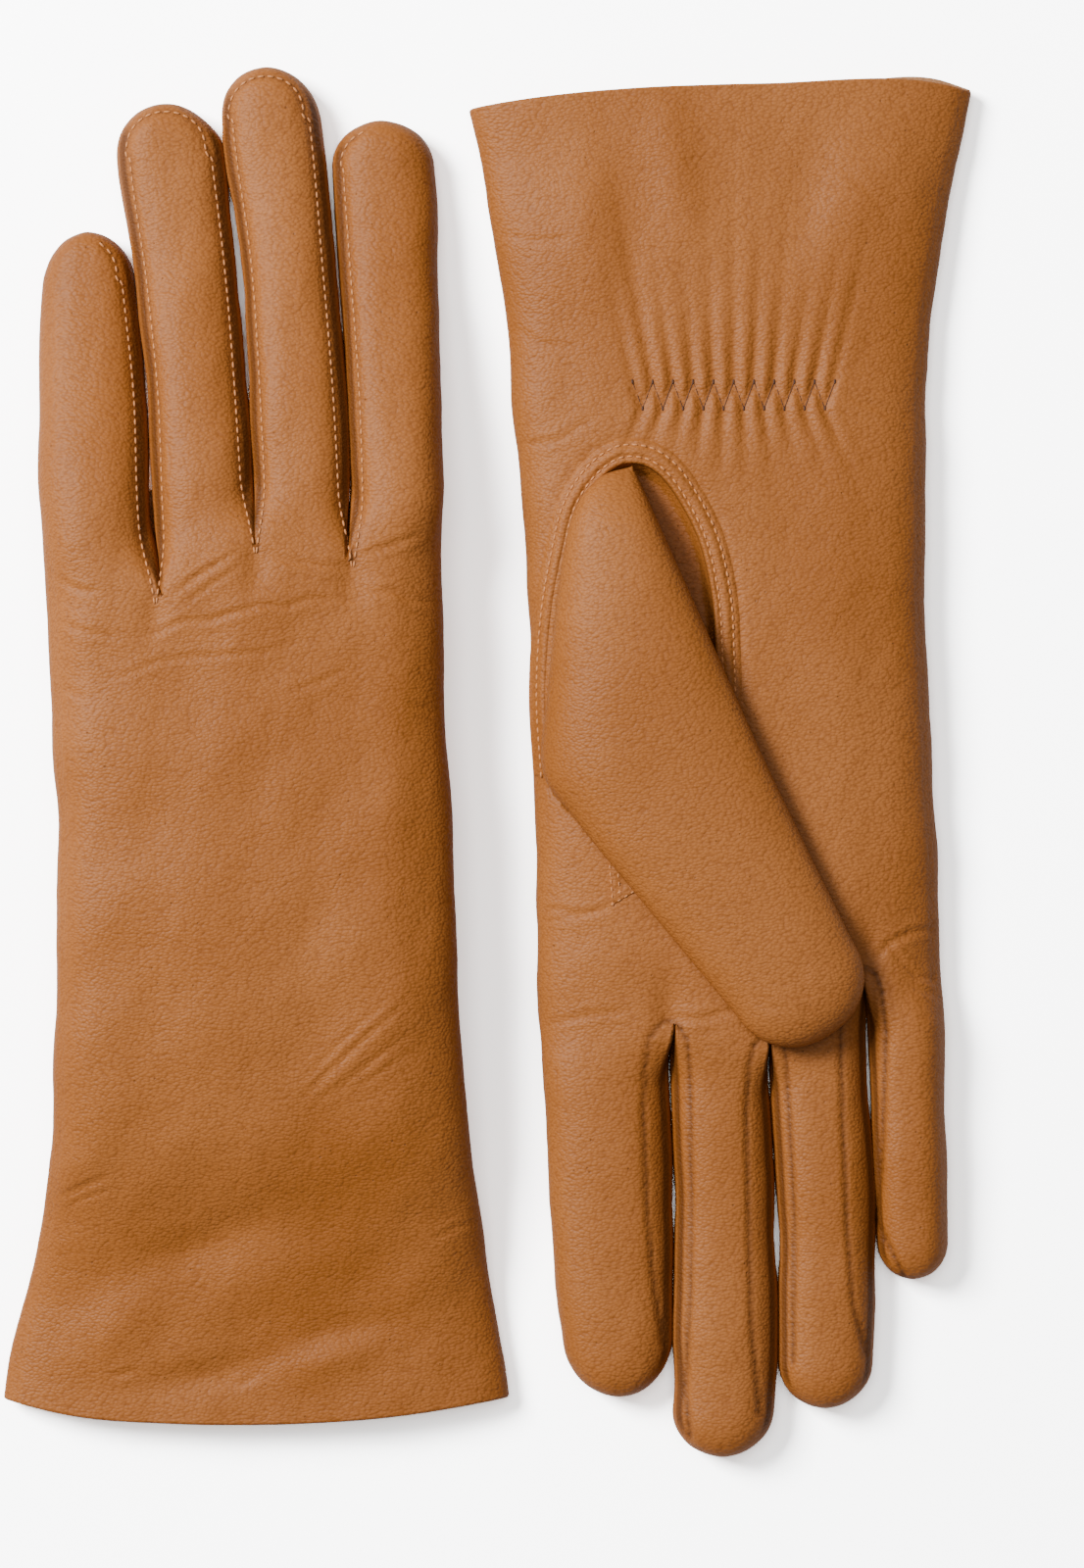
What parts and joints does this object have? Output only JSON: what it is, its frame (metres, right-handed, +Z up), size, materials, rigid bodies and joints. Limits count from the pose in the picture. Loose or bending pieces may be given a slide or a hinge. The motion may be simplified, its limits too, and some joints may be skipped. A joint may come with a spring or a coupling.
{
  "type": "pair of leather dress gloves",
  "caption": "Pair of slim lined leather dress gloves with gathered elastic wrist and flared cuff, laid flat, one back up and one palm up, thumbs folded over the palms.",
  "frame": {"origin": "middle of the pair on the table, at the height of the table", "axes": "+X across the pair from the left glove to the right glove, +Y from the left glove's cuff towards its fingertips, +Z up from the table"},
  "size_m": [0.1978, 0.2861, 0.0239],
  "materials": {
    "leather": "smooth cognac hairsheep leather, satin, fine grain and pores",
    "leather_inside": "turned-in leather edge, matt",
    "lining": "fine knitted lining, matt",
    "elastic": "woven elastic tape, matt",
    "thread": "fine sewing thread, tone on tone"
  },
  "bodies": {
    "left_hand": {"left_cuff_hem": "leather_inside", "left_hand": "leather", "left_hand_lining": "lining", "left_quirk": "leather", "left_thumb_facing": "leather_inside", "left_wrist_elastic": "elastic"},
    "left_index": {"left_index_finger": "leather", "left_index_inner_fourchette": "leather", "left_index_lining": "lining"},
    "left_middle": {"left_middle_finger": "leather", "left_middle_inner_fourchette": "leather", "left_middle_lining": "lining", "left_middle_outer_fourchette": "leather"},
    "left_ring": {"left_ring_finger": "leather", "left_ring_inner_fourchette": "leather", "left_ring_lining": "lining", "left_ring_outer_fourchette": "leather"},
    "left_little": {"left_little_finger": "leather", "left_little_lining": "lining", "left_little_outer_fourchette": "leather"},
    "left_thumb": {"left_thumb": "leather", "left_thumb_lining": "lining"},
    "right_hand": {"right_cuff_hem": "leather_inside", "right_hand": "leather", "right_hand_lining": "lining", "right_quirk": "leather", "right_thumb_facing": "leather_inside", "right_wrist_elastic": "elastic"},
    "right_index": {"right_index_finger": "leather", "right_index_inner_fourchette": "leather", "right_index_lining": "lining"},
    "right_middle": {"right_middle_finger": "leather", "right_middle_inner_fourchette": "leather", "right_middle_lining": "lining", "right_middle_outer_fourchette": "leather"},
    "right_ring": {"right_ring_finger": "leather", "right_ring_inner_fourchette": "leather", "right_ring_lining": "lining", "right_ring_outer_fourchette": "leather"},
    "right_little": {"right_little_finger": "leather", "right_little_lining": "lining", "right_little_outer_fourchette": "leather"},
    "right_thumb": {"right_thumb": "leather", "right_thumb_lining": "lining"}
  },
  "joints": [
    {"name": "left_index_bend", "type": "hinge", "parent": "left_hand", "child": "left_index", "pos_m": [-0.01898, 0.06232, 0.0099], "axis": [-0.9976, -0.0698, 0], "range_deg": [0, 80]},
    {"name": "left_middle_bend", "type": "hinge", "parent": "left_hand", "child": "left_middle", "pos_m": [-0.03873, 0.06094, 0.0099], "axis": [-0.9976, -0.0698, 0], "range_deg": [0, 80]},
    {"name": "left_ring_bend", "type": "hinge", "parent": "left_hand", "child": "left_ring", "pos_m": [-0.05918, 0.05951, 0.0099], "axis": [-0.9976, -0.0698, 0], "range_deg": [0, 80]},
    {"name": "left_little_bend", "type": "hinge", "parent": "left_hand", "child": "left_little", "pos_m": [-0.08093, 0.05799, 0.0099], "axis": [-0.9976, -0.0698, 0], "range_deg": [0, 80]},
    {"name": "left_thumb_unfold", "type": "hinge", "parent": "left_hand", "child": "left_thumb", "pos_m": [-0.0092, -0.0149, 0.00975], "axis": [0, -1, 0], "range_deg": [0, 110]},
    {"name": "right_index_bend", "type": "hinge", "parent": "right_hand", "child": "right_index", "pos_m": [0.02371, -0.06084, 0.0122], "axis": [-0.9997, -0.0262, 0], "range_deg": [0, 80]},
    {"name": "right_middle_bend", "type": "hinge", "parent": "right_hand", "child": "right_middle", "pos_m": [0.0466, -0.06024, 0.0122], "axis": [-0.9997, -0.0262, 0], "range_deg": [0, 80]},
    {"name": "right_ring_bend", "type": "hinge", "parent": "right_hand", "child": "right_ring", "pos_m": [0.0666, -0.05971, 0.0122], "axis": [-0.9997, -0.0262, 0], "range_deg": [0, 80]},
    {"name": "right_little_bend", "type": "hinge", "parent": "right_hand", "child": "right_little", "pos_m": [0.08469, -0.05924, 0.0122], "axis": [-0.9997, -0.0262, 0], "range_deg": [0, 80]},
    {"name": "right_thumb_unfold", "type": "hinge", "parent": "right_hand", "child": "right_thumb", "pos_m": [0.0092, 0.0149, 0.01415], "axis": [0, -1, 0], "range_deg": [0, 110]},
    {"name": "right_glove_lift", "type": "slide", "parent": "left_hand", "child": "right_hand", "axis": [0, 0, 1], "range_m": [0, 0.12]}
  ]
}
